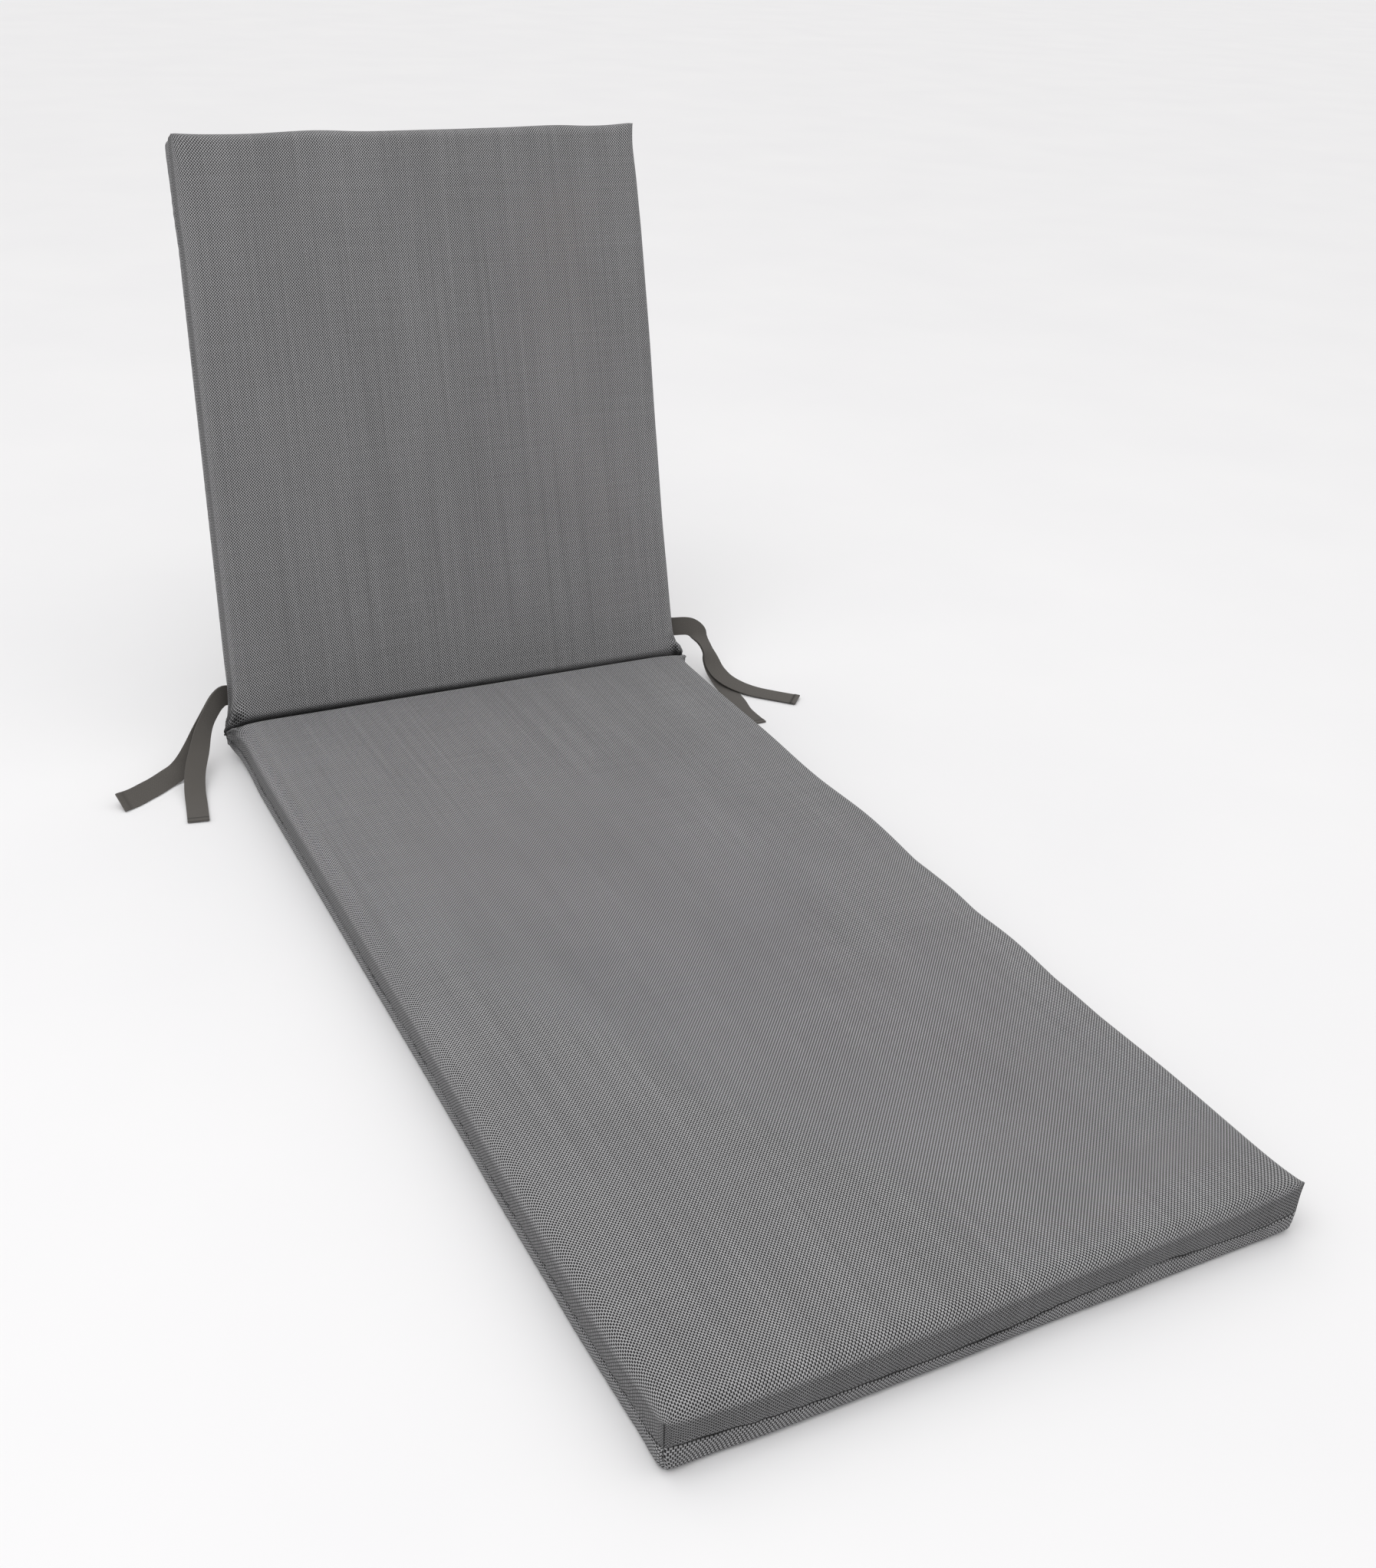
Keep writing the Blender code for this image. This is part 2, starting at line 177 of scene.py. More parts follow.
@dataclass(frozen=True)
class WovenCover:
    """Outdoor cover cloth: a plain weave of thick spun yarns, a dark warp and a pale weft.

    The yarns are round, so the pale weft shows as ovals and the dark warp as dashes between
    them. The cloth is matt, and its yarns differ a little, which gives it faint streaks.
    """

    name: str = "plain_weave_cover"
    warp_pitch: float = 1.67 * MILLIMETRE  # between yarns that run along the cushion
    weft_pitch: float = 1.85 * MILLIMETRE  # between yarns that run across it
    warp_colour: str = "#1b1b1c"
    weft_colour: str = "#a9a9ab"
    painted_wall_shade: float = 0.36  # painted shade: how much darker the walls are drawn, as they turn away from the light above
    # dark of the seams, and painted shade in the crumpled cloth and the slit at the fold
    seam_and_shade_colour: str = "#121213"
    yarn_relief: float = 0.40 * MILLIMETRE
    crossing: float = 0.60  # how far a yarn rises and dips, against its own roundness
    # Where the warp shows over the weft, and where rows of weft part, as heights of a sine wave. On
    # the walls the wider dark between rows is partly painted shade below each row of weft.
    panel_warp: float = 0.33
    wall_warp: float = 0.66
    panel_gap: float = 0.36
    wall_gap: float = 0.52
    softness: float = 0.13
    warp_breadth: float = 0.6
    wander_scale: float = 60.0  # of the slow drift that keeps the yarns from running dead straight
    wander: float = 0.36
    streak_amount: float = 0.16
    roughness: float = 0.86
    specular: float = 0.25
    sheen: float = 0.08

    def make(self) -> bpy.types.Material:
        """Build the cover's material.

        Returns:
            The material, which reads the cloth map, the attribute of seams and painted crease
            shade, and the wall attribute, which holds painted wall shade too.
        """
        made, tree, shader = new_finish(self.name)

        cloth = add_node(tree, "UVMap", uv_map="cloth").outputs["UV"]
        place = add_node(tree, "SeparateXYZ", {"Vector": cloth})
        wander = add_node(
            tree,
            "TexNoise",
            {"Vector": cloth, "Scale": self.wander_scale, "Detail": 2.0, "Roughness": 0.6},
            noise_dimensions="2D",
        )
        drift = math_node(
            tree, "MULTIPLY_ADD", wander.outputs[0], self.wander, -self.wander / 2
        )
        warp_at = math_node(tree, "MULTIPLY_ADD", place.outputs["X"], 1 / self.warp_pitch, drift)
        weft_at = math_node(tree, "MULTIPLY_ADD", place.outputs["Y"], 1 / self.weft_pitch, drift)

        warp_wave = math_node(tree, "SINE", math_node(tree, "MULTIPLY", warp_at, math.pi))
        weft_wave = math_node(tree, "SINE", math_node(tree, "MULTIPLY", weft_at, math.pi))
        warp_height = self.yarn_height(tree, warp_wave, weft_wave, self.crossing)
        weft_height = self.yarn_height(tree, weft_wave, warp_wave, -self.crossing)

        # How far into a wall's weave and painted wall shade a point lies
        wall = attribute(tree, "wall")
        warp_over = math_node(tree, "MULTIPLY", warp_wave, math_node(tree, "SIGN", weft_wave))
        warp_edge = math_node(
            tree, "MULTIPLY_ADD", wall, self.wall_warp - self.panel_warp, self.panel_warp
        )
        no_warp = self.step(tree, math_node(tree, "SUBTRACT", warp_edge, warp_over))
        # On a panel the rows part only where a warp yarn passes between them
        row = math_node(tree, "ABSOLUTE", weft_wave)
        beside = math_node(tree, "ABSOLUTE", warp_wave)
        at_warp = math_node(tree, "SUBTRACT", beside, self.warp_breadth)
        panel_gap = math_node(tree, "MULTIPLY", self.step(tree, at_warp), self.panel_gap)
        extra = math_node(tree, "SUBTRACT", self.wall_gap, panel_gap)
        gap_edge = math_node(tree, "MULTIPLY_ADD", wall, extra, panel_gap)
        no_gap = self.step(tree, math_node(tree, "SUBTRACT", row, gap_edge))
        on_top = math_node(tree, "MULTIPLY", no_warp, no_gap)

        # Painted shade: the walls are drawn darker, as they face away from the light above
        stretched = math_node(tree, "MULTIPLY_ADD", wall, -self.painted_wall_shade, 1.0)
        shade = math_node(tree, "MULTIPLY", self.streaks(tree, cloth), stretched)
        colour = mixed(tree, on_top, self.warp_colour, self.weft_colour)
        colour = add_node(tree, "HueSaturation", {"Color": colour, "Value": shade}).outputs[0]
        # Dark seams, and painted shade in the creases and the slit at the fold
        colour = mixed(tree, attribute(tree, "sewn_and_shade"), colour, self.seam_and_shade_colour)
        tree.links.new(colour, shader.inputs["Base Color"])

        height = math_node(tree, "MAXIMUM", warp_height, weft_height)
        bump = add_node(tree, "Bump", {"Height": height, "Distance": self.yarn_relief})
        bump.inputs["Strength"].default_value = 1.0
        tree.links.new(bump.outputs["Normal"], shader.inputs["Normal"])
        set_matt(shader, self.roughness, self.specular, self.sheen)
        return made

    def yarn_height(
        self,
        tree: bpy.types.NodeTree,
        own: bpy.types.NodeSocket,
        crossed: bpy.types.NodeSocket,
        rise: float,
    ) -> bpy.types.NodeSocket:
        """Height of a yarn: its own round, raised and dipped where it crosses the others."""
        round_part = math_node(tree, "ABSOLUTE", own)
        side = math_node(tree, "SIGN", own)
        crossing = math_node(tree, "MULTIPLY", side, crossed)
        return math_node(tree, "MULTIPLY_ADD", crossing, rise, round_part)

    def step(
        self, tree: bpy.types.NodeTree, value: bpy.types.NodeSocket
    ) -> bpy.types.NodeSocket:
        """A soft step from 0 to 1 where a value rises through zero."""
        return add_node(
            tree,
            "MapRange",
            {"Value": value, "From Min": -self.softness, "From Max": self.softness},
            interpolation_type="SMOOTHSTEP",
        ).outputs["Result"]

    def streaks(
        self, tree: bpy.types.NodeTree, cloth: bpy.types.NodeSocket
    ) -> bpy.types.NodeSocket:
        """Brightness that differs from yarn to yarn, along the warp and along the weft."""
        total = None
        for scale, weight in (
            ((300.0, 3.0, 1.0), 1.7),
            ((90.0, 2.0, 1.0), 1.0),
            ((6.0, 300.0, 1.0), 1.0),
            ((9.0, 5.0, 1.0), 1.0),
        ):
            stretched = add_node(tree, "Mapping", {"Vector": cloth, "Scale": scale})
            patch = add_node(
                tree,
                "TexNoise",
                {"Vector": stretched.outputs[0], "Scale": 1.0, "Detail": 2.0},
                noise_dimensions="2D",
            ).outputs[0]
            amount = self.streak_amount * weight
            offset = math_node(tree, "MULTIPLY_ADD", patch, amount, -amount / 2)
            total = math_node(tree, "ADD", offset, 1.0 if total is None else total)
        return total


@dataclass(frozen=True)
class TieTape:
    """Woven cotton and polyester tape, dark and warm grey, with a fine plain weave."""

    name: str = "woven_tie_tape"
    colour: str = "#4b4845"
    lit_colour: str = "#625f5b"
    seam_and_shade_colour: str = "#1d1b1a"
    rib_pitch: float = 1.1 * MILLIMETRE  # of the weft, drawn a little coarser than it is
    rib_share: float = 0.25  # how much the weave shows through the fuzz
    fuzz_scale: float = 900.0
    relief: float = 0.12 * MILLIMETRE
    relief_share: float = 0.8
    roughness: float = 0.8
    specular: float = 0.25
    sheen: float = 0.1

    def make(self) -> bpy.types.Material:
        """Build the tape's material.

        Returns:
            The material, which reads the tape map and the attribute of its stitching.
        """
        made, tree, shader = new_finish(self.name)
        tape = add_node(tree, "UVMap", uv_map="cloth").outputs["UV"]
        place = add_node(tree, "SeparateXYZ", {"Vector": tape})
        pace = math.pi / self.rib_pitch
        across = math_node(tree, "SINE", math_node(tree, "MULTIPLY", place.outputs["X"], pace))
        along = math_node(tree, "SINE", math_node(tree, "MULTIPLY", place.outputs["Y"], pace))
        check = math_node(tree, "MULTIPLY", across, along)
        fuzz = add_node(
            tree,
            "TexNoise",
            {"Vector": tape, "Scale": self.fuzz_scale, "Detail": 3.0},
            noise_dimensions="2D",
        ).outputs[0]
        fuzzy = math_node(tree, "MULTIPLY_ADD", check, self.rib_share, fuzz)
        colour = mixed(tree, fuzzy, self.colour, self.lit_colour)
        colour = mixed(tree, attribute(tree, "sewn_and_shade"), colour, self.seam_and_shade_colour)
        tree.links.new(colour, shader.inputs["Base Color"])
        bump = add_node(tree, "Bump", {"Height": fuzzy, "Distance": self.relief})
        bump.inputs["Strength"].default_value = self.relief_share
        tree.links.new(bump.outputs["Normal"], shader.inputs["Normal"])
        set_matt(shader, self.roughness, self.specular, self.sheen)
        return made


@dataclass(frozen=True)
class StudioFloor:
    """Matt white studio board, rolled on, so it has no gloss and only a faint mottle."""

    name: str = "matt_white_board"
    colour: str = "#f2f2f3"
    worn_colour: str = "#ececee"
    mottle_scale: float = 2.5
    roughness: float = 0.9
    specular: float = 0.1

    def make(self) -> bpy.types.Material:
        """Build the floor's material."""
        made, tree, shader = new_finish(self.name)
        place = add_node(tree, "TexCoord").outputs["Object"]
        mottle = add_node(
            tree, "TexNoise", {"Vector": place, "Scale": self.mottle_scale, "Detail": 4.0}
        )
        colour = mixed(tree, mottle.outputs[0], self.colour, self.worn_colour)
        tree.links.new(colour, shader.inputs["Base Color"])
        set_matt(shader, self.roughness, self.specular)
        return made


def finish_object(
    name: str, mesh: bmesh.types.BMesh, finish: bpy.types.Material
) -> bpy.types.Object:
    """Turn a bmesh into a smooth object that rides on the body.

    Args:
        name: The piece's name.
        mesh: The bmesh, which is freed.
        finish: The piece's material.

    Returns:
        The linked object.
    """
    data = bpy.data.meshes.new(name)
    mesh.to_mesh(data)
    mesh.free()
    data.shade_smooth()
    data.materials.append(finish)
    made = bpy.data.objects.new(name, data)
    bpy.context.scene.collection.objects.link(made)
    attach(made, BODY)
    return made


def applied(made: bpy.types.Object) -> None:
    """Apply an object's modifiers to its mesh."""
    graph = bpy.context.evaluated_depsgraph_get()
    graph.update()
    fresh = bpy.data.meshes.new_from_object(made.evaluated_get(graph), depsgraph=graph)
    made.modifiers.clear()
    stale = made.data
    made.data = fresh
    bpy.data.meshes.remove(stale)
    fresh.name = made.name


class Panel(Enum):
    """The two panels of the cover, which meet at the seam round the walls."""

    TOP = "top"
    BOTTOM = "bottom"


@dataclass
class Cushion:
    """The filled cushion: its flat block, how it is rounded, sewn, bent and covered."""

    half_width: float = 0.3020
    thickness: float = 0.0530
    seat_length: float = 1.1865
    back_length: float = 0.7165
    lean: float = math.radians(15.2)
    crown: float = 0.0016
    wall_bulge: float = 0.0030
    end_bulge: float = 0.0022
    top_round: float = 0.0110
    bottom_round: float = 0.0050
    corner_sharpness: float = 0.78
    corner_uprightness: float = 5.0  # power that keeps the sewn corner sharp down to its foot
    corner_bluntness: float = 1.20
    corner_reach: float = 0.018
    corner_ear: float = 0.0030
    ear_reach: float = 0.0080
    corner_stiffness: float = 0.090
    seam_depth: float = 0.0350
    seam_draw: float = 0.0020
    seam_half: float = 0.0050
    lobe_fullness: float = 0.7
    wave_reach: float = 0.100
    side_flatness: int = 4  # powers with which a crown falls towards the sides and the ends
    end_flatness: int = 6
    channel_half: float = 0.0004
    channel_front: float = 0.0220
    channel_rear: float = 0.0270
    front_round: tuple[float, float] = (0.0045, 0.0120)
    rear_round: tuple[float, float] = (0.0450, 0.0850)
    gather_width: float = 0.0200
    fan_reach: float = 0.0600
    fold_skew: float = -0.0100
    skew_reach: float = 0.0800
    fold_place: float = -0.0055
    # Height of the seam above its usual place, by distance across the front wall
    seam_rises: tuple[tuple[float, float], ...] = (
        (-0.302, 0.0050),
        (-0.275, 0.0046),
        (-0.222, 0.0006),
        (-0.150, -0.0014),
        (-0.040, -0.0026),
        (0.010, -0.0026),
        (0.060, 0.0012),
        (0.110, 0.0026),
        (0.155, 0.0046),
        (0.190, 0.0016),
        (0.240, 0.0000),
        (0.302, 0.0018),
    )
    seam_wander: float = 0.0014  # how far the seam strays on the other walls
    seam_meeting: float = 0.030  # reach over which it settles to the front wall's height
    # How far the gathered wall stands out at the fold, by distance from it
    fold_ears: tuple[tuple[float, float, float], ...] = (
        (0.000, 0.0105, 0.0135),
        (0.007, 0.0100, 0.0120),
        (0.013, 0.0085, 0.0080),
        (0.020, 0.0050, 0.0022),
        (0.030, 0.0016, 0.0000),
        (0.045, 0.0000, 0.0000),
    )
    # How far the walls stand out, by distance from the fold: from_fold, left, right
    seat_edges: tuple[tuple[float, float, float], ...] = (
        (0.000, 0.0004, 0.0026),
        (0.055, 0.0002, 0.0022),
        (0.110, 0.0014, 0.0016),
        (0.250, 0.0014, 0.0020),
        (0.380, 0.0016, -0.0010),
        (0.500, 0.0017, 0.0050),
        (0.670, 0.0014, -0.0038),
        (0.780, 0.0018, 0.0032),
        (0.880, 0.0028, -0.0016),
        (1.030, 0.0020, 0.0022),
        (1.120, 0.0002, 0.0014),
        (1.186, -0.0016, 0.0016),
    )
    back_edges: tuple[tuple[float, float, float], ...] = (
        (0.000, 0.0004, 0.0008),
        (0.055, -0.0012, 0.0008),
        (0.100, -0.0012, 0.0008),
        (0.180, -0.0012, 0.0000),
        (0.300, -0.0012, 0.0010),
        (0.450, -0.0012, 0.0028),
        (0.570, -0.0012, 0.0028),
        (0.640, 0.0008, 0.0018),
        (0.716, 0.0036, -0.0004),
    )
    # How far the end walls stand out, by distance across: across, front, top
    end_edges: tuple[tuple[float, float, float], ...] = (
        (-0.302, -0.0016, 0.0020),
        (-0.215, 0.0014, -0.0006),
        (-0.130, 0.0016, 0.0020),
        (-0.060, 0.0016, -0.0008),
        (0.050, -0.0006, -0.0004),
        (0.110, 0.0000, 0.0002),
        (0.195, -0.0008, 0.0018),
        (0.240, -0.0006, 0.0002),
        (0.302, -0.0014, 0.0024),
    )
    # Ribs of the cage, before its one subdivision
    corner_ribs: tuple[float, ...] = (0.0006, 0.0013, 0.0021, 0.0030)
    edge_zone: float = 0.0120
    bottom_zone: float = 0.0070
    end_ease: float = 0.0480
    arc_steps: tuple[int, ...] = (12, 24, 35)
    channel_arc: tuple[int, ...] = (0, 18, 38, 60, 90)
    fold_ribs: tuple[float, ...] = (
        *(0.0075, 0.0110, 0.0155, 0.0210),
        *(0.0280, 0.0360, 0.0460, 0.0580),
    )
    along_spacing: float = 0.0140
    across_spacing: float = 0.0160
    wall_ribs: tuple[float, ...] = (0.0165, 0.0215, 0.0265, 0.0305)
    groove_ribs: tuple[float, ...] = (-0.0024, -0.0009, 0.0009, 0.0024)
    hem_rib: float = 0.0415
    hem_tightness: float = 0.32  # how much closer the yarns lie below the seam
    # Sewing that is too fine for the cage
    wall_turn: float = 0.006  # breadth over which a panel becomes a wall
    corner_clear: tuple[float, float] = (0.002, 0.012)  # where the groove starts, from a corner
    groove: float = 0.0013
    groove_half: float = 0.0009
    groove_wobble: float = 0.0005
    pucker: float = 0.0007
    pucker_length: float = 0.0125
    pucker_reach: float = 0.0085
    pucker_start: float = 0.003
    dart_groove: float = 0.0002
    dart_rows: tuple[float, float] = (0.0008, 0.0009)  # half widths, at the corner and beside it
    dart_apart: float = 0.0026
    dart_reach: float = 0.02
    dart_ends: tuple[float, float] = (0.004, 0.006)  # where a dart fades out at its top and foot
    gather: float = 0.0022
    gather_breadths: tuple[float, float] = (0.011, 0.013)  # on the seat and on the back
    gather_ease: float = 0.010
    gather_reach: tuple[float, float] = (0.004, 0.019)
    gather_shade: float = 0.85
    slit_depth: float = 0.03
    slit_reach: tuple[float, float] = (0.0042, 0.0022)  # at the left and at the right
    slit_breadth: float = 0.4
    panel_swell: float = 0.0006
    tone_start: float = 0.0085  # depth at which the wall starts to darken, in its weave and in painted shade
    tone_corner: tuple[float, float] = (0.8, 0.012)  # how much sooner at a corner, and its reach
    tone_ramp: float = 0.0070
    # Below the seam the wall is drawn lighter again: partly its weave, partly painted light from
    # the floor
    hem_tone: float = 0.30
    hem_ramp: float = 0.0008
    # From the fold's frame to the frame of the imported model
    shift: Vector = field(default_factory=lambda: Vector((0.0, 0.48154, 0.0)))
    lengths: dict[tuple[Panel, str], tuple[np.ndarray, np.ndarray]] = field(
        default_factory=dict
    )

    @property
    def mitre(self) -> float:
        """How far a section moves along at the fold, for each metre of depth."""
        return math.tan((math.radians(90) - self.lean) / 2)

    def section_length(self, along: float) -> float:
        """Length of the section that a point belongs to."""
        return self.back_length if along > 0 else self.seat_length

    def edge_ribs(self, limit: float, zone: float) -> list[float]:
        """Places of the ribs that turn round an edge at the limit."""
        inner = [limit - zone * (1 - math.tan(math.radians(step))) for step in self.arc_steps]
        if zone == self.edge_zone:
            inner += [limit - rib for rib in self.corner_ribs]
        return [limit - zone, *sorted(inner)]

    def along_ribs(self, length: float) -> list[float]:
        """Distances from the fold of all the ribs of one section."""
        ribs = [
            self.channel_half + self.front_round[0] * (1 - math.cos(math.radians(step)))
            for step in self.channel_arc
        ]
        ribs += self.fold_ribs
        first, last = ribs[-1], length - self.edge_zone
        count = round((last - first) / self.along_spacing)
        ribs += [blend(first, last, step / count) for step in range(1, count)]
        return ribs + self.edge_ribs(length, self.edge_zone)

    def block(self) -> bmesh.types.BMesh:
        """Cut a block of the cushion's flat size into ribs.

        Returns:
            The block: X across, Y along from the fold, Z down from the top panel.
        """
        mesh = bmesh.new()
        bmesh.ops.create_cube(mesh, size=1.0)
        total = self.seat_length + self.back_length
        for vertex in mesh.verts:
            vertex.co.x *= 2 * self.half_width
            vertex.co.y = (vertex.co.y + 0.5) * total - self.seat_length
            vertex.co.z = (vertex.co.z + 0.5) * self.thickness

        inner = self.half_width - self.edge_zone
        count = round(inner / self.across_spacing)
        across = [inner * step / count for step in range(count)]
        across += self.edge_ribs(self.half_width, self.edge_zone)
        across = sorted({*across, *(-rib for rib in across)})
        along = sorted(
            [-rib for rib in self.along_ribs(self.seat_length)]
            + self.along_ribs(self.back_length)
        )
        down = [
            self.edge_zone * (1 - math.tan(math.radians(step))) for step in self.arc_steps
        ]
        down += [self.edge_zone, *self.wall_ribs, self.seam_depth]
        down += [self.seam_depth + step for step in self.groove_ribs]
        down += [self.hem_rib, *self.edge_ribs(self.thickness, self.bottom_zone)]
        for axis, places in ((0, across), (1, along), (2, down)):
            normal = Vector((0, 0, 0))
            normal[axis] = 1
            for rib in places:
                cut = [*mesh.verts, *mesh.edges, *mesh.faces]
                bmesh.ops.bisect_plane(mesh, geom=cut, plane_co=normal * rib, plane_no=normal)
        return mesh

    def rounded(self, across: float, along: float, depth: float) -> tuple[Vector, float, float]:
        """Turn the block's square edges into round ones, sharper at the sewn corners.

        Args:
            across: Distance across from the middle.
            along: Distance along from the fold.
            depth: Distance down from the top panel.

        Returns:
            The point, and how much of it belongs to the side walls and to the end walls.
        """
        zone, length = self.edge_zone, self.section_length(along)
        side, far = abs(across), abs(along)
        corner = math.exp(-((self.half_width - side) + (length - far)) / self.corner_reach)
        top_radius = self.top_round * (1 - self.corner_sharpness * corner)
        bottom_radius = self.bottom_round * (1 + self.corner_bluntness * corner)
        down = (depth - zone) / (self.thickness - zone - self.bottom_zone)
        down = min(max(down, 0.0), 1.0)
        radius = blend(top_radius, bottom_radius, down**self.corner_uprightness)

        turn_side = max(0.0, (side - self.half_width + zone) / zone)
        turn_far = max(0.0, (far - length + zone) / zone)
        turn_down = 0.0
        if depth < zone:
            turn_down = depth / zone - 1
        elif depth > self.thickness - self.bottom_zone:
            turn_down = 1 - (self.thickness - depth) / self.bottom_zone
        reach = math.sqrt(turn_side**2 + turn_far**2 + turn_down**2)

        inner = self.half_width - zone
        side = min(side, inner) * (self.half_width - radius) / inner
        near_end = smooth((far - length + zone + self.end_ease) / self.end_ease)
        far = min(far, length - zone) + (zone - radius) * near_end
        point = Vector(
            (
                math.copysign(side + radius * turn_side / reach, across),
                math.copysign(far + radius * turn_far / reach, along),
                blend(top_radius, self.thickness - bottom_radius, down)
                + radius * turn_down / reach,
            )
        )
        return point, turn_side / reach, turn_far / reach

    def wall_swell(self, depth: float, bulge: float) -> float:
        """How far a wall stands out at a depth, with the seam drawn in between two lobes."""
        arc = math.sin(math.pi * min(max(depth / self.thickness, 0.0), 1.0))
        drawn_in = self.seam_draw * hump(depth - self.seam_depth, self.seam_half)
        return bulge * max(arc, 0.0) ** self.lobe_fullness - drawn_in

    def swollen(self, point: Vector, side_share: float, end_share: float) -> Vector:
        """Let the filling press the panels and walls out, and draw the seam in.

        Args:
            point: The rounded point.
            side_share: How much of it belongs to the side walls.
            end_share: How much of it belongs to the end walls.

        Returns:
            The moved point.
        """
        across, along, depth = point
        length, far = self.section_length(along), abs(along)
        rows = self.back_edges if along > 0 else self.seat_edges
        to_corner = self.half_width - abs(across) + length - far
        from_corner = smooth(to_corner / self.corner_stiffness)

        wall = self.wall_swell(depth, self.wall_bulge * from_corner)
        wall += from_rows(rows, far, 1 if across < 0 else 2)
        gathered = from_rows(self.fold_ears, far, 1 if across < 0 else 2)
        across += math.copysign(gathered * side_share, across)
        share = smooth((abs(across) - self.half_width + self.wave_reach) / self.wave_reach)
        new_across = across + math.copysign(share * wall, across)

        wall = self.wall_swell(depth, self.end_bulge * from_corner)
        wall += from_rows(self.end_edges, across, 2 if along > 0 else 1)
        new_along = along + math.copysign(end_share * wall, along)

        ear = self.corner_ear * math.exp(-to_corner / self.ear_reach)
        tip = max(1 - 2 * depth / self.thickness, 0.0) ** 2
        new_across += math.copysign(ear * tip * side_share, across)
        new_along += math.copysign(ear * tip * end_share, along)

        flat = 1 - (across / self.half_width) ** self.side_flatness
        flat *= 1 - (2 * far / length - 1) ** self.end_flatness
        top_share = 1 - depth / self.thickness
        lift = self.crown * max(flat, 0.0) * top_share
        if along > 0:
            lift -= self.crown * max(flat, 0.0) * (1 - top_share)
        return Vector((new_across, new_along, depth - lift))

    def turned_in(self, far: float, breadth: float) -> float:
        """Share of the channel's depth that a face has at a distance from the fold."""
        place = min(max((far - self.channel_half) / breadth, 0.0), 1.0)
        return 1 - math.sqrt(1 - (1 - place) ** 2)

    def sewn_through(self, point: Vector) -> Vector:
        """Draw both faces in to the stitches of the channel."""
        across, along, depth = point
        gathered = smooth((abs(across) - self.half_width + self.gather_width) / self.gather_width)
        front = self.channel_front * self.turned_in(
            abs(along), blend(*self.front_round, gathered)
        )
        rear = self.channel_rear * self.turned_in(abs(along), blend(*self.rear_round, gathered))
        share = depth / self.thickness
        return Vector((across, along, depth + front * (1 - share) - rear * share))

    def bent(self, point: Vector) -> Vector:
        """Bend the flat cushion at its fold: the seat stays level and the back stands up."""
        across, along, depth = point
        far = abs(along) - self.mitre * depth * (1 - smooth(abs(along) / self.fan_reach))
        skew = self.fold_place + self.fold_skew * across * math.exp(-abs(along) / self.skew_reach)
        if along <= 0:
            return Vector((across, skew - far, self.thickness - depth))
        up = Vector((0, math.sin(self.lean), math.cos(self.lean)))
        rear = Vector((0, math.cos(self.lean), -math.sin(self.lean)))
        return Vector((across, skew, self.thickness)) + up * far + rear * depth

    def strayed(self, across: float, along: float, depth: float) -> float:
        """Depth of a wall's point once the seam wanders up and down along the wall."""
        if self.length_to_end(along) < TOUCHING and along < 0:
            rise = from_rows(self.seam_rises, across, 1)
        else:
            rise = self.seam_wander * noise.noise(Vector((across * 6, along * 11, 0.4)))
            start = self.seam_rises[0 if across < 0 else -1][1]
            rise = blend(rise, start, math.exp(-self.length_to_end(along) / self.seam_meeting))
        upper = smooth((depth - self.edge_zone) / (self.seam_depth - self.edge_zone))
        lower = smooth((self.thickness - depth) / (self.thickness - self.seam_depth))
        return depth - rise * min(upper, lower)

    def length_to_end(self, along: float) -> float:
        """Distance along a section from a point to its end wall."""
        return self.section_length(along) - abs(along)

    def place(self, across: float, along: float, depth: float) -> Vector:
        """The place of a point of the block on the finished cushion."""
        depth = self.strayed(across, along, depth)
        point, side_share, end_share = self.rounded(across, along, depth)
        return self.bent(self.sewn_through(self.swollen(point, side_share, end_share)))

    def measure(self) -> None:
        """Measure the cloth's own length from the middle and from the fold, for the cloth map."""
        step = 0.002
        middle = -self.seat_length / 2
        for panel in Panel:
            face = 0.0 if panel is Panel.TOP else self.thickness
            toward = 1 if panel is Panel.TOP else -1
            for name, limit in (
                ("across", self.half_width),
                ("seat", self.seat_length),
                ("back", self.back_length),
            ):
                places = np.arange(0.0, limit + self.thickness, step)
                points = []
                for reach in places:
                    inside = max(min(reach, limit), 1e-6)
                    depth = face + toward * max(reach - limit, 0.0)
                    if name == "across":
                        points.append(self.place(inside, middle, depth))
                    else:
                        along = inside if name == "back" else -inside
                        points.append(self.place(0.0, along, depth))
                gaps = [0.0] + [(b - a).length for a, b in zip(points, points[1:])]
                self.lengths[panel, name] = (places, np.cumsum(gaps))

    def cloth_place(self, point: Vector, panel: Panel, wall: str) -> tuple[float, float]:
        """Where on the flat cloth a point of the block lies.

        Args:
            point: The point on the block.
            panel: The panel that covers it.
            wall: Which wall the face belongs to: side, end or none.

        Returns:
            Distances across and along the cloth, in metres.
        """
        across, along, depth = point
        down = depth if panel is Panel.TOP else self.thickness - depth
        tight = 0.0 if panel is Panel.TOP else down * self.hem_tightness
        reach = abs(across) + (down if wall == "side" else 0.0)
        u = np.interp(reach, *self.lengths[panel, "across"]) + (tight if wall == "side" else 0.0)
        section = "back" if along > 0 else "seat"
        reach = abs(along) + (down if wall == "end" else 0.0)
        v = np.interp(reach, *self.lengths[panel, section]) + (tight if wall == "end" else 0.0)
        return math.copysign(u, across), math.copysign(v, along)

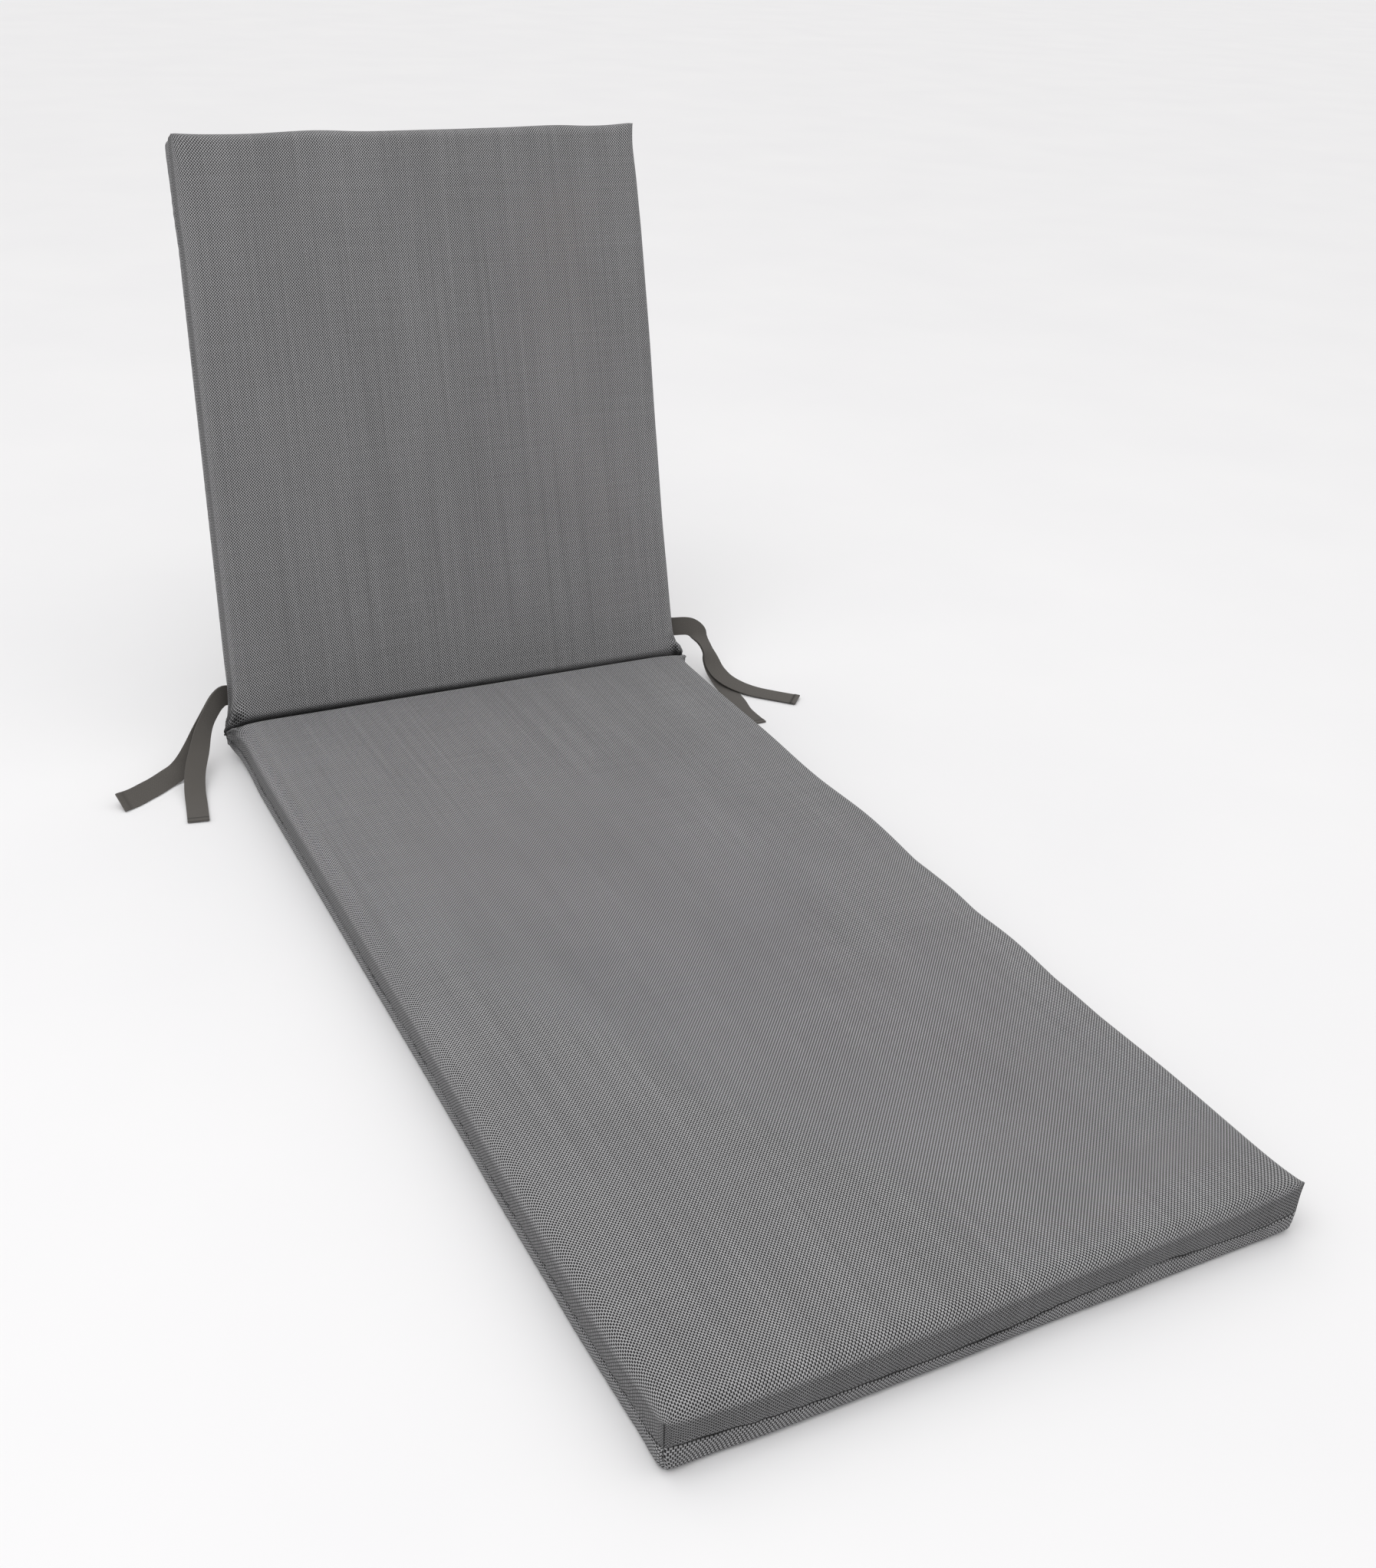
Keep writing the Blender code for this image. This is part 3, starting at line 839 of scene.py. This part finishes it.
    def lay_cloth(self, mesh: bmesh.types.BMesh) -> None:
        """Write the cloth map and the flat place of each point, while the block is still flat."""
        self.measure()
        cloth = mesh.loops.layers.uv.new("cloth")
        flat = mesh.verts.layers.float_vector.new("flat")
        for vertex in mesh.verts:
            vertex[flat] = vertex.co
        edge = 1e-6
        for face in mesh.faces:
            middle = face.calc_center_median()
            wall = "none"
            if abs(middle.x) > self.half_width - edge:
                wall = "side"
            elif middle.y < -self.seat_length + edge or middle.y > self.back_length - edge:
                wall = "end"
            panel = Panel.TOP if middle.z < self.seam_depth else Panel.BOTTOM
            for loop in face.loops:
                point = loop.vert.co.copy()
                # A point on a middle line takes the side of its face
                point.x = math.copysign(point.x, middle.x)
                point.y = math.copysign(point.y, middle.y)
                loop[cloth].uv = self.cloth_place(point, panel, wall)

    def detail(self, flat: Vector) -> tuple[float, float, float]:
        """Sewing and creases at a point, too fine for the cage.

        Args:
            flat: The point's place on the block.

        Returns:
            How far it stands out, how much of it is drawn dark as seams or as painted shade in
            creases, and how much of the wall's weave and painted wall shade it carries.
        """
        across, along, depth = flat
        length, side, far = self.section_length(along), abs(across), abs(along)
        side_wall = smooth((side - self.half_width + self.wall_turn) / self.wall_turn)
        end_wall = smooth((far - length + self.wall_turn) / self.wall_turn)
        wall = max(side_wall, end_wall)
        run = along if side_wall > end_wall else across
        out = sewn_and_shade = 0.0
        to_side, to_end = self.half_width - side, length - far
        to_corner = to_side + to_end
        # The seam lies flat where it meets a corner
        clear = smooth((to_corner - self.corner_clear[0]) / self.corner_clear[1])

        wobble = self.groove_wobble * noise.noise(Vector((run * 30, side_wall, 3.1)))
        from_seam = depth - self.seam_depth - wobble
        if wall > 0 and abs(from_seam) < 0.03:
            near = hump(from_seam, self.groove_half)
            beat = 0.55 + 1.1 * noise.noise(Vector((run * 26, 7.7, side_wall)))
            beat = min(max(beat, 0.15), 1.0)
            out -= wall * self.groove * near * clear
            sewn_and_shade = max(sewn_and_shade, wall * near * beat)
            phase = 2 * math.pi * run / self.pucker_length
            phase += 2.6 * noise.noise(Vector((run * 22, 1.3, side_wall)))
            size = 0.55 + 0.9 * abs(noise.noise(Vector((run * 9, 4.9, 0.5))))
            fade = hump(abs(from_seam) - self.pucker_start, self.pucker_reach)
            out += wall * self.pucker * size * math.sin(phase) * fade * clear

        # The darted corner: two rows of sewing with a narrow strip between them
        start, ease = self.dart_ends
        upright = smooth((depth - start) / ease)
        upright *= smooth((self.thickness - start - depth) / ease)
        if to_corner < self.dart_reach and upright > 0:
            beside = hump(to_side - self.dart_apart, self.dart_rows[1])
            near = beside if to_end < TOUCHING else 0.0
            near = max(near, hump(to_corner, self.dart_rows[0]))
            out -= self.dart_groove * near * upright
            sewn_and_shade = max(sewn_and_shade, near * upright)

        # The wall's cloth, crumpled where it turns at the fold
        breadth = self.gather_breadths[1 if along > 0 else 0]
        gathered = smooth((side - self.half_width + breadth) / self.gather_ease)
        start, reach = self.gather_reach
        near_fold = hump(max(far - start, 0.0), reach)
        if gathered * near_fold > 0.01:
            angle = math.atan2(depth - self.thickness / 2, far + 0.002)
            ripple = noise.noise(Vector((angle * 3.2, far * 130, across * 60)))
            ripple += 0.6 * noise.noise(Vector((depth * 210, far * 260, across * 120)))
            out += self.gather * gathered * near_fold * ripple
            # Painted shade in the hollows of the crumpled cloth
            shade = self.gather_shade * gathered * near_fold * smooth(0.55 - ripple)
            sewn_and_shade = max(sewn_and_shade, shade)

        # Painted shade in the shut slit of the channel, tighter towards the right
        if depth < self.slit_depth:
            rightward = smooth(across / self.slit_breadth + 0.5)
            sewn_and_shade = max(sewn_and_shade, hump(far, blend(*self.slit_reach, rightward)))

        swell = noise.noise(Vector((across * 5, along * 5, depth * 9 + 2.0)))
        out += self.panel_swell * swell * (1 - wall)

        # On the walls the cloth is drawn darker between the edge and the seam: partly the stretched
        # cloth's opened weave, partly painted shade where the walls turn from the light above
        share, reach = self.tone_corner
        start = self.tone_start * (1 - share * math.exp(-to_corner / reach))
        tone = smooth((depth - start) / self.tone_ramp)
        below = smooth((depth - self.seam_depth) / self.hem_ramp)
        tone *= blend(1.0, self.hem_tone, below)
        return out, sewn_and_shade, tone * wall

    def make(self, finish: bpy.types.Material) -> bpy.types.Object:
        """Build the cushion.

        Args:
            finish: The cover's material.

        Returns:
            The cushion, which stands for the CAD solid.
        """
        mesh = self.block()
        self.lay_cloth(mesh)
        for vertex in mesh.verts:
            vertex.co = self.place(*vertex.co)
        bmesh.ops.translate(mesh, verts=mesh.verts, vec=self.shift)
        bmesh.ops.recalc_face_normals(mesh, faces=mesh.faces)
        made = finish_object("padded_cushion", mesh, finish)
        finer = made.modifiers.new("finer", "SUBSURF")
        finer.levels = finer.render_levels = 1
        applied(made)
        self.sew(made)
        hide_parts("cushion")
        return made

    def sew(self, made: bpy.types.Object) -> None:
        """Move the fine mesh's points by the detail, and write what the cover's finish reads."""
        data = made.data
        count = len(data.vertices)
        flat = np.empty(count * 3)
        data.attributes["flat"].data.foreach_get("vector", flat)
        moves, sewn_and_shade, wall = [], [], []
        for place in flat.reshape(-1, 3).tolist():
            out, dark, share = self.detail(place)
            moves.append(out)
            sewn_and_shade.append(min(max(dark, 0.0), 1.0))
            wall.append(min(max(share, 0.0), 1.0))
        # The first holds seams and painted crease shade, the second the wall's weave and painted
        # wall shade
        for name, values in (("sewn_and_shade", sewn_and_shade), ("wall", wall)):
            data.attributes.new(name, "FLOAT", "POINT").data.foreach_set("value", values)
        normals = [vertex.normal.copy() for vertex in data.vertices]
        for vertex, normal, out in zip(data.vertices, normals, moves):
            vertex.co += normal * out
            vertex.co.z = max(vertex.co.z, 0.0)  # nothing sinks into the floor
        data.attributes.remove(data.attributes["flat"])
        data.update()


@dataclass
class TieTail:
    """One free tail of a tie tape, from the seam that holds it to its stitched end.

    Rows are the points that it follows, in the cushion's flat frame: across, along, height
    and roll. At a roll of 0 or 180 degrees the tape lies flat, and at 90 it stands on edge.
    """

    node: str
    layer: int
    rows: tuple[tuple[float, float, float, float], ...]
    width: float = 0.0250
    thickness: float = 0.0012
    gap: float = 0.0006
    step: float = 0.0030
    hem_length: float = 0.0080
    hem_thickness: float = 0.0022
    strands: int = 8  # faces across the tape
    stitch: float = 0.0012  # half width of the row that holds the hem
    stitch_shade: float = 0.8

    def chain(self) -> list[list[float]]:
        """A close chain of points and rolls through the rows."""
        chain = []
        ends = [self.rows[0], *self.rows, self.rows[-1]]
        for before, start, end, after in zip(ends, ends[1:], ends[2:], ends[3:]):
            steps = max(1, round(math.dist(start[:3], end[:3]) / self.step))
            for step in range(steps):
                share = step / steps
                chain.append(
                    [
                        0.5
                        * (
                            2 * b
                            + (c - a) * share
                            + (2 * a - 5 * b + 4 * c - d) * share**2
                            + (3 * b - a - 3 * c + d) * share**3
                        )
                        for a, b, c, d in zip(before, start, end, after)
                    ]
                )
        chain.append(list(self.rows[-1]))
        return chain

    def frames(self, shift: Vector) -> list[tuple[Vector, Vector, Vector]]:
        """Middle, width direction and face direction at each point along the tail."""
        chain = self.chain()
        points = [Vector(link[:3]) for link in chain]
        spread = self.layer * (self.thickness + self.gap) / 2
        frames = []
        for index, link in enumerate(chain):
            ahead = points[min(index + 1, len(points) - 1)]
            behind = points[max(index - 1, 0)]
            way = (ahead - behind).normalized()
            level = Vector((0, 0, 1)).cross(way).normalized()
            upward = way.cross(level)
            roll = math.radians(link[3])
            width = level * math.cos(roll) + upward * math.sin(roll)
            face = way.cross(width)
            frames.append((points[index] + face * spread + shift, width, face))
        return frames

    def make(self, finish: bpy.types.Material, shift: Vector) -> bpy.types.Object:
        """Build the tail.

        Args:
            finish: The tape's material.
            shift: From the cushion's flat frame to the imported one.

        Returns:
            The tail, which stands for its CAD solid.
        """
        frames = self.frames(shift)
        middles = [middle for middle, _, _ in frames]
        walked = [0.0]
        for before, after in zip(middles, middles[1:]):
            walked.append(walked[-1] + (after - before).length)
        length = walked[-1]
        mesh = bmesh.new()
        bmesh.ops.create_grid(
            mesh, x_segments=self.strands, y_segments=len(frames) - 1, size=0.5, calc_uvs=False
        )
        cloth = mesh.loops.layers.uv.new("cloth")
        sewn_and_shade = mesh.verts.layers.float.new("sewn_and_shade")
        hem = {}
        for face in mesh.faces:
            for loop in face.loops:
                index = round((loop.vert.co.y + 0.5) * (len(frames) - 1))
                loop[cloth].uv = (loop.vert.co.x * self.width, walked[index])
        for vertex in mesh.verts:
            index = round((vertex.co.y + 0.5) * (len(frames) - 1))
            share = vertex.co.x
            middle, width, face = frames[index]
            vertex.co = middle + width * (share * self.width)
            left = length - walked[index]
            hem[vertex.index] = left < self.hem_length
            row = hump(left - self.hem_length + self.stitch, self.stitch)
            vertex[sewn_and_shade] = self.stitch_shade * row
        made = finish_object(f"{self.node}_tape", mesh, finish)
        group = made.vertex_groups.new(name="hem")
        group.add([index for index, folded in hem.items() if folded], 1.0, "REPLACE")
        solidify = made.modifiers.new("thickness", "SOLIDIFY")
        solidify.thickness = self.hem_thickness
        solidify.offset = 0.0
        solidify.vertex_group = group.name
        solidify.thickness_vertex_group = self.thickness / self.hem_thickness
        applied(made)
        made.data.set_sharp_from_angle(angle=math.radians(50))
        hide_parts(self.node)
        return made


LEFT_START = (
    (-0.3056, 0.0400, 0.0725, 105),
    (-0.3130, 0.0350, 0.0740, 106),
    (-0.3240, 0.0245, 0.0708, 107),
    (-0.3365, 0.0110, 0.0609, 110),
)
RIGHT_START = (
    (0.3096, 0.0385, 0.0725, 75),
    (0.3185, 0.0355, 0.0715, 74),
    (0.3400, 0.0325, 0.0700, 68),
    (0.3510, 0.0285, 0.0648, 50),
    (0.3560, 0.0210, 0.0560, 12),
    (0.3620, 0.0130, 0.0420, -4),
)
TAILS = (
    TieTail(
        "tie_left_front",
        -1,
        (
            *LEFT_START,
            (-0.3470, -0.0050, 0.0500, 125),
            (-0.3560, -0.0220, 0.0350, 146),
            (-0.3665, -0.0430, 0.0185, 160),
            (-0.3735, -0.0690, 0.0065, 172),
            (-0.3790, -0.1030, 0.0018, 180),
            (-0.3852, -0.1380, 0.0018, 180),
        ),
    ),
    TieTail(
        "tie_left_rear",
        1,
        (
            *LEFT_START,
            (-0.3487, -0.0030, 0.0486, 125),
            (-0.3600, -0.0128, 0.0350, 132),
            (-0.3725, -0.0200, 0.0210, 128),
            (-0.3840, -0.0250, 0.0125, 140),
            (-0.3970, -0.0310, 0.0092, 148),
            (-0.4134, -0.0440, 0.0088, 148),
            (-0.4273, -0.0538, 0.0090, 146),
            (-0.4440, -0.0650, 0.0093, 144),
            (-0.4608, -0.0730, 0.0102, 142),
        ),
    ),
    TieTail(
        "tie_right_outer",
        1,
        (
            *RIGHT_START,
            (0.3655, 0.0060, 0.0280, 0),
            (0.3680, -0.0070, 0.0155, 3),
            (0.3720, -0.0270, 0.0085, 5),
            (0.3810, -0.0490, 0.0048, 6),
            (0.3950, -0.0700, 0.0030, 5),
            (0.4140, -0.0905, 0.0026, 4),
            (0.4390, -0.1160, 0.0026, 4),
        ),
    ),
    TieTail(
        "tie_right_inner",
        -1,
        (
            *RIGHT_START,
            (0.3653, 0.0062, 0.0275, 0),
            (0.3665, -0.0065, 0.0135, 2),
            (0.3670, -0.0275, 0.0048, 1),
            (0.3650, -0.0520, 0.0022, 0),
            (0.3605, -0.0850, 0.0021, 0),
            (0.3545, -0.1150, 0.0021, 0),
            (0.3540, -0.1560, 0.0024, 0),
        ),
    ),
)


@dataclass
class Studio:
    """The photograph's view, a pale floor and soft light."""

    camera_place: tuple[float, float, float] = (-0.77346, -1.56826, 1.07334)
    camera_turn: tuple[float, float, float] = (69.27298, -2.59197, -27.26041)
    focal_pixels: float = 2371.18
    principal: tuple[float, float] = (904.157, 720.437)
    frame_size: tuple[int, int] = (1794, 2044)
    sensor: float = 36.0
    floor_size: float = 60.0
    sky_colour: str = "#fffefd"
    sky_strength: float = 0.93
    horizon_share: float = 0.55  # brightness of the sky near the horizon, against overhead
    overhead: float = 0.7  # height on the sky's unit sphere at which it is as bright as overhead
    key_strength: float = 0.40
    key_turn: tuple[float, float, float] = (14.0, 0.0, -60.0)
    key_spread: float = 70.0
    softbox_place: tuple[float, float, float] = (-1.1, -0.5, 3.0)
    softbox_size: float = 1.8
    softbox_power: float = 15.0
    softbox_target: tuple[float, float, float] = (0.0, 0.0, 0.2)

    def make_camera(self) -> None:
        """Put the camera where the photograph was taken from."""
        data = bpy.data.cameras.new("camera")
        width, height = self.frame_size
        data.sensor_width = self.sensor
        data.lens = self.focal_pixels / height * self.sensor
        data.shift_x = (width / 2 - self.principal[0]) / height
        data.shift_y = (self.principal[1] - height / 2) / height
        data.clip_end = 100.0
        camera = bpy.data.objects.new("camera", data)
        camera.location = self.camera_place
        camera.rotation_euler = Euler([math.radians(turn) for turn in self.camera_turn])
        bpy.context.scene.collection.objects.link(camera)
        bpy.context.scene.camera = camera

    def make_floor(self, finish: bpy.types.Material) -> None:
        """Lay a wide floor under the cushion."""
        mesh = bmesh.new()
        bmesh.ops.create_grid(mesh, x_segments=2, y_segments=2, size=self.floor_size / 2)
        data = bpy.data.meshes.new("floor")
        mesh.to_mesh(data)
        mesh.free()
        data.materials.append(finish)
        floor = bpy.data.objects.new("floor", data)
        bpy.context.scene.collection.objects.link(floor)

    def make_lights(self) -> None:
        """A bright even sky, a broad soft sun from the left and a softbox overhead."""
        scene = bpy.context.scene
        scene.view_settings.view_transform = "Standard"
        world = bpy.data.worlds.new("studio")
        world.use_nodes = True
        background = world.node_tree.nodes["Background"]
        background.inputs["Color"].default_value = linear(self.sky_colour)
        tree = world.node_tree
        way = add_node(tree, "TexCoord").outputs["Generated"]
        height = add_node(tree, "SeparateXYZ", {"Vector": way}).outputs["Z"]
        strength = add_node(
            tree,
            "MapRange",
            {
                "Value": height,
                "From Min": 0.0,
                "From Max": self.overhead,
                "To Min": self.sky_strength * self.horizon_share,
                "To Max": self.sky_strength,
            },
        ).outputs["Result"]
        tree.links.new(strength, background.inputs["Strength"])
        scene.world = world
        data = bpy.data.lights.new("key_light", "SUN")
        data.energy = self.key_strength
        data.angle = math.radians(self.key_spread)
        key = bpy.data.objects.new("key_light", data)
        key.rotation_euler = Euler([math.radians(turn) for turn in self.key_turn])
        scene.collection.objects.link(key)
        data = bpy.data.lights.new("softbox", "AREA")
        data.shape = "SQUARE"
        data.size = self.softbox_size
        data.energy = self.softbox_power
        softbox = bpy.data.objects.new("softbox", data)
        softbox.location = self.softbox_place
        toward = Vector(self.softbox_target) - softbox.location
        softbox.rotation_euler = toward.to_track_quat("-Z", "Y").to_euler()
        scene.collection.objects.link(softbox)


def main() -> None:
    """Build the scene: the view, the tapes, the cushion and the light."""
    logging.basicConfig(level=logging.INFO, format="%(message)s")
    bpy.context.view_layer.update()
    studio = Studio()
    studio.make_camera()
    cover, tape = WovenCover().make(), TieTape().make()
    cushion = Cushion()
    body = cushion.make(cover)
    log.info("%s: %d faces", body.name, len(body.data.polygons))
    for tail in TAILS:
        made = tail.make(tape, cushion.shift)
        log.info("%s: %d faces", made.name, len(made.data.polygons))
    studio.make_floor(StudioFloor().make())
    studio.make_lights()


if __name__ == "__main__":
    main()
